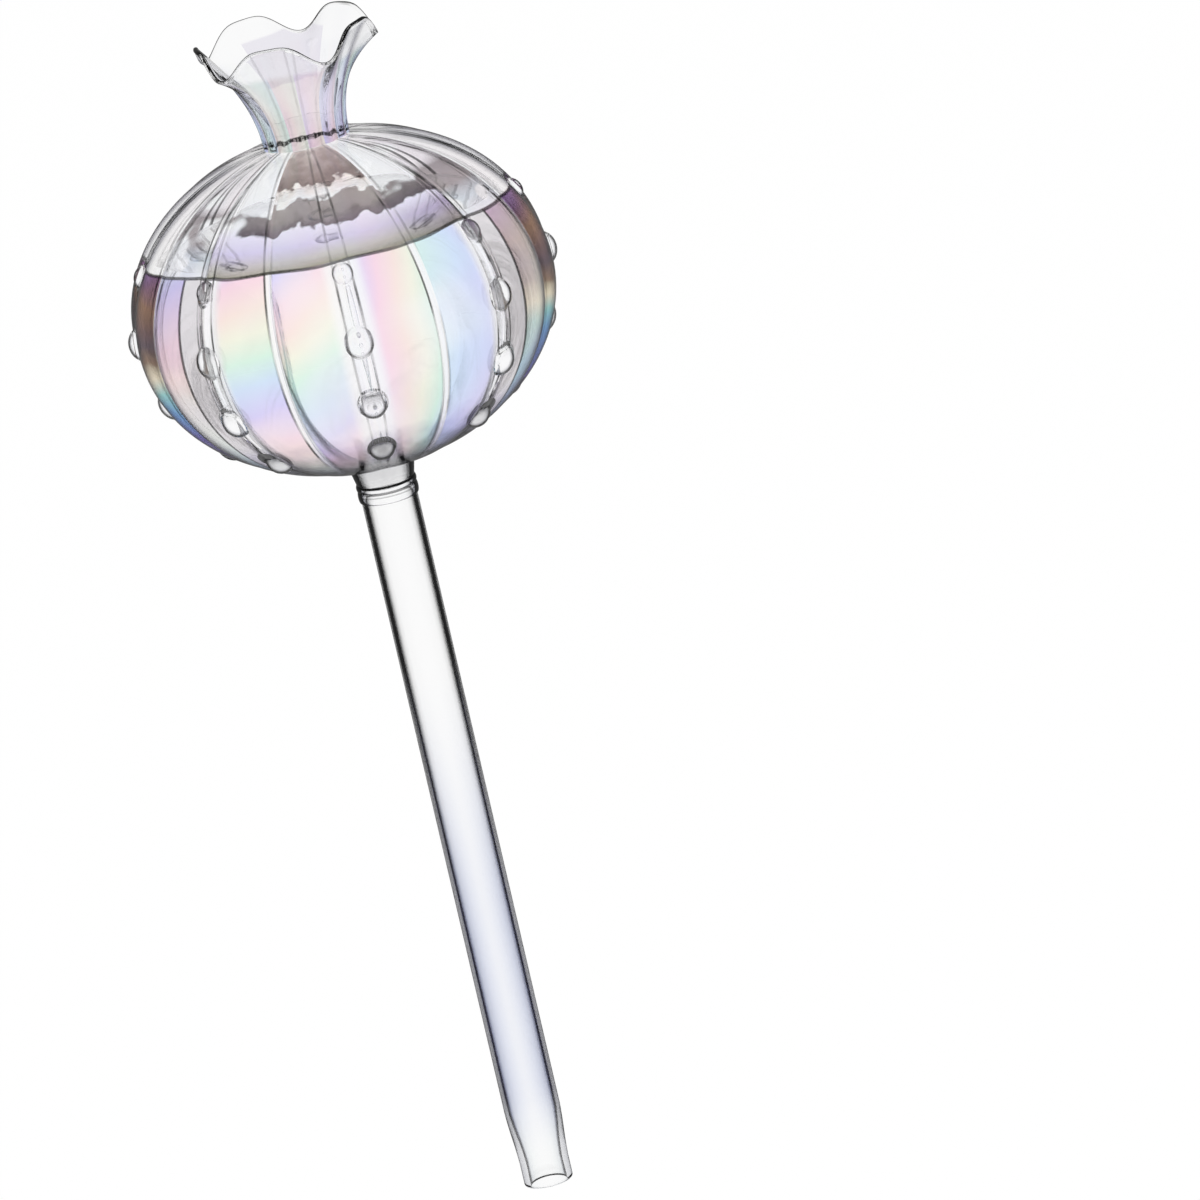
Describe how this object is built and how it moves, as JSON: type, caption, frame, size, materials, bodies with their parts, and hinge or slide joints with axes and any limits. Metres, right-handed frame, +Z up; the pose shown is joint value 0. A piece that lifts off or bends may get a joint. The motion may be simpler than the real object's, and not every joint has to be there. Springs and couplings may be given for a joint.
{
  "type": "watering globe",
  "caption": "Fluted glass watering globe with beaded ribs, a ruffled filling mouth and a long drip stem that is pushed into potting soil.",
  "frame": {"origin": "centre of the stem's open tip, at the lowest point of the globe", "axes": "+Z up along the stem towards the mouth; -Y is the front, where one beaded rib faces; +X to the right seen from the front"},
  "size_m": [0.093, 0.093, 0.2599],
  "materials": {
    "bulb_glass": "fire-polished clear glass with a pearly iridescent film",
    "mouth_glass": "fire-polished clear glass with a faint iridescent film",
    "stem_glass": "clear drawn glass tube",
    "bead_glass": "clear glass drops",
    "water": "clear water, shown only in the dressed scene"
  },
  "bodies": {
    "root": {"bulb_shell": "bulb_glass", "ruffled_mouth": "mouth_glass", "joint_collar": "stem_glass", "stem_tube": "stem_glass", "bead_row_1": "bead_glass", "bead_row_2": "bead_glass", "bead_row_3": "bead_glass", "bead_row_4": "bead_glass", "bead_row_5": "bead_glass", "bead_row_6": "bead_glass", "bead_row_7": "bead_glass", "bead_row_8": "bead_glass"}
  },
  "joints": []
}
